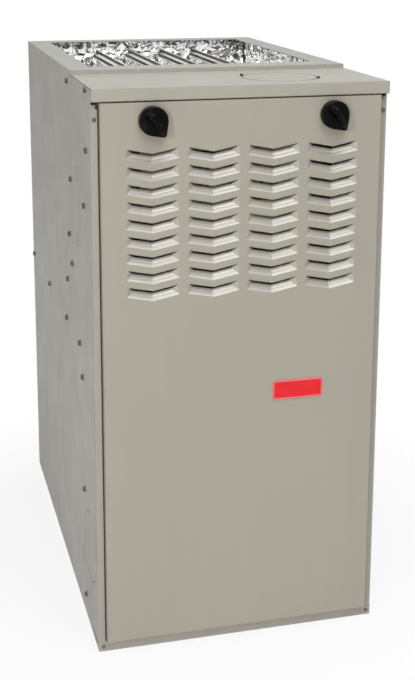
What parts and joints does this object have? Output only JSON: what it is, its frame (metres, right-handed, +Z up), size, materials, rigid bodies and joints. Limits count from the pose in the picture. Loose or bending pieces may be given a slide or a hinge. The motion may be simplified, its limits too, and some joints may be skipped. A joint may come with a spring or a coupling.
{
  "type": "forced air gas furnace",
  "caption": "Upflow forced air gas furnace in a sheet steel cabinet with a pull-off louvred door, quarter-turn knobs, blower, burners, heat exchanger and draft inducer.",
  "frame": {"origin": "middle of the underside of the whole furnace, on the floor", "axes": "+Z up towards the supply outlet, -Y towards the door, +X to the right seen from the door"},
  "size_m": [0.453, 0.771, 0.876],
  "materials": {
    "cabinet_paint": "smooth light grey baked paint",
    "door_paint": "smooth warm grey baked paint",
    "plate_paint": "smooth light grey baked paint",
    "galvanised": "galvanised sheet",
    "aluminised": "aluminised sheet",
    "screw_steel": "painted and plated screws",
    "foil": "crinkled foil facing on glass wool",
    "black_plastic": "glossy black moulding",
    "matte_black": "matte black moulding",
    "white_plastic": "off-white moulding",
    "red_plastic": "red moulding",
    "cast_alloy": "as-cast alloy",
    "pipe_iron": "dark steel pipe",
    "brass": "turned brass",
    "ceramic": "matte ceramic",
    "motor_paint": "dark satin paint",
    "lamination": "motor laminations",
    "shaft_steel": "ground steel",
    "rubber_hose": "black tube",
    "wire_cover": "wire insulation",
    "board_green": "circuit board",
    "card": "card frame",
    "filter_cloth": "pleated glass fibre",
    "glass": "clear glass",
    "plate_enamel": "enamelled blank plate"
  },
  "bodies": {
    "cabinet": {"casing_wrap": "cabinet_paint", "top_front_plate": "plate_paint", "bottom_rail": "cabinet_paint", "blower_deck": "galvanised", "vestibule_panel": "galvanised", "side_braces": "galvanised", "casing_screws": "screw_steel", "foil_liner_left": "foil", "foil_liner_right": "foil", "foil_liner_back": "foil", "heat_cell_1": "aluminised", "heat_cell_2": "aluminised", "heat_cell_3": "aluminised", "heat_cell_4": "aluminised", "collector_box": "aluminised", "inducer_housing": "galvanised", "inducer_motor": "lamination", "vent_collar": "aluminised", "burner_box": "galvanised", "burners": "aluminised", "gas_manifold": "pipe_iron", "gas_orifices": "brass", "gas_valve": "cast_alloy", "igniter": "ceramic", "flame_sensor": "ceramic", "rollout_switch": "matte_black", "pressure_switch": "matte_black", "pressure_hose": "rubber_hose", "limit_switch": "matte_black", "junction_box": "galvanised", "switch_bracket": "galvanised", "door_switch": "white_plastic", "blower_panel": "cabinet_paint", "panel_screws": "screw_steel", "sight_glass": "glass", "blower_housing": "galvanised", "blower_motor": "motor_paint", "motor_mount": "galvanised", "motor_capacitor": "cast_alloy", "control_board": "board_green", "transformer": "lamination", "filter_frame": "card", "filter_media": "filter_cloth", "filter_rails": "galvanised", "wiring_harness": "wire_cover", "latch_keepers": "galvanised"},
    "door": {"door_panel": "door_paint", "nameplate": "plate_enamel"},
    "left_knob": {"knob_left": "black_plastic", "knob_left_cam": "shaft_steel"},
    "right_knob": {"knob_right": "black_plastic", "knob_right_cam": "shaft_steel"},
    "switch_plunger": {"door_switch_plunger": "white_plastic"},
    "gas_switch": {"gas_valve_switch": "black_plastic"},
    "reset_button": {"rollout_button": "red_plastic"},
    "inducer_rotor": {"inducer_wheel": "aluminised"},
    "blower_rotor": {"blower_wheel": "galvanised", "blower_shaft": "shaft_steel"}
  },
  "joints": [
    {"name": "door_pull", "type": "slide", "parent": "cabinet", "child": "door", "axis": [0, -1, 0], "range_m": [0, 0.5]},
    {"name": "left_knob_turn", "type": "hinge", "parent": "door", "child": "left_knob", "pos_m": [-0.1355, -0.3525, 0.824], "axis": [0, -1, 0], "range_deg": [0, 90]},
    {"name": "right_knob_turn", "type": "hinge", "parent": "door", "child": "right_knob", "pos_m": [0.1355, -0.3525, 0.824], "axis": [0, -1, 0], "range_deg": [0, 90]},
    {"name": "door_switch_press", "type": "slide", "parent": "cabinet", "child": "switch_plunger", "axis": [0, -1, 0], "range_m": [0, 0.006]},
    {"name": "gas_switch_turn", "type": "hinge", "parent": "cabinet", "child": "gas_switch", "pos_m": [-0.1145, -0.3235, 0.60845], "axis": [0, -1, 0], "range_deg": [0, 90]},
    {"name": "reset_press", "type": "slide", "parent": "cabinet", "child": "reset_button", "axis": [0, 0, -1], "range_m": [0, 0.0015], "stiffness_N_per_m": 300},
    {"name": "inducer_spin", "type": "hinge", "parent": "cabinet", "child": "inducer_rotor", "pos_m": [0.031, -0.2625, 0.725], "axis": [0, 1, 0], "continuous": true},
    {"name": "blower_spin", "type": "hinge", "parent": "cabinet", "child": "blower_rotor", "pos_m": [0, 0.0145, 0.286], "axis": [1, 0, 0], "continuous": true}
  ],
  "couplings": [
    {"joint": "door_switch_press", "follows": "door_pull", "ratio": 0.012}
  ]
}
